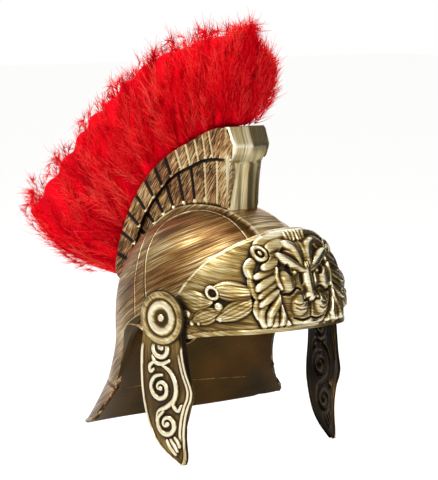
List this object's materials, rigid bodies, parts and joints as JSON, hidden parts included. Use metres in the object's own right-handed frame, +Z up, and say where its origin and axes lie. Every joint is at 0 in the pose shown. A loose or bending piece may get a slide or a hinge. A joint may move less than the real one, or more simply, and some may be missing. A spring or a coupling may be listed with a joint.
{
  "type": "roman legionary costume helmet",
  "caption": "Crested helmet with a tilting embossed face band, hinged cheek guards, a flared neck guard and a feather plume.",
  "frame": {"origin": "inside of the bowl's crown on the mid-plane, where the top of the wearer's head sits", "axes": "+Z up, the helmet faces -Y, the wearer's right side is -X"},
  "size_m": [0.2294, 0.4268, 0.399],
  "materials": {
    "antiqued_gold_bowl": "metallised gold plastic with dark brushed antiquing",
    "antiqued_gold_crest": "metallised gold plastic with copper-brown brush strokes and dark grooves",
    "embossed_gold_band": "metallised pale gold plastic, dark paint in the hollows of the relief",
    "embossed_gold_guard": "metallised gold plastic, dark paint round the scrolls",
    "bright_gold_trim": "metallised pale gold plastic, polished rims",
    "red_feather": "dyed red marabou feather"
  },
  "bodies": {
    "helmet": {"bowl": "antiqued_gold_bowl", "crest_box": "antiqued_gold_crest", "plume": "red_feather", "pivot_rivet_right": "bright_gold_trim", "pivot_rivet_left": "bright_gold_trim"},
    "visor": {"visor": "embossed_gold_band"},
    "cheek_right": {"cheek_guard_right": "embossed_gold_guard", "roundel_right": "bright_gold_trim"},
    "cheek_left": {"cheek_guard_left": "embossed_gold_guard", "roundel_left": "bright_gold_trim"}
  },
  "joints": [
    {"name": "visor_tilt", "type": "hinge", "parent": "helmet", "child": "visor", "pos_m": [0, -0.0324, -0.0889], "axis": [-1, 0, 0], "range_deg": [-20, 18]},
    {"name": "cheek_right_swing", "type": "hinge", "parent": "helmet", "child": "cheek_right", "pos_m": [-0.09366, -0.0324, -0.0889], "axis": [-0.9781, -0.2079, 0], "range_deg": [-25, 35]},
    {"name": "cheek_left_swing", "type": "hinge", "parent": "helmet", "child": "cheek_left", "pos_m": [0.09366, -0.0324, -0.0889], "axis": [-0.9781, 0.2079, 0], "range_deg": [-25, 35]}
  ]
}
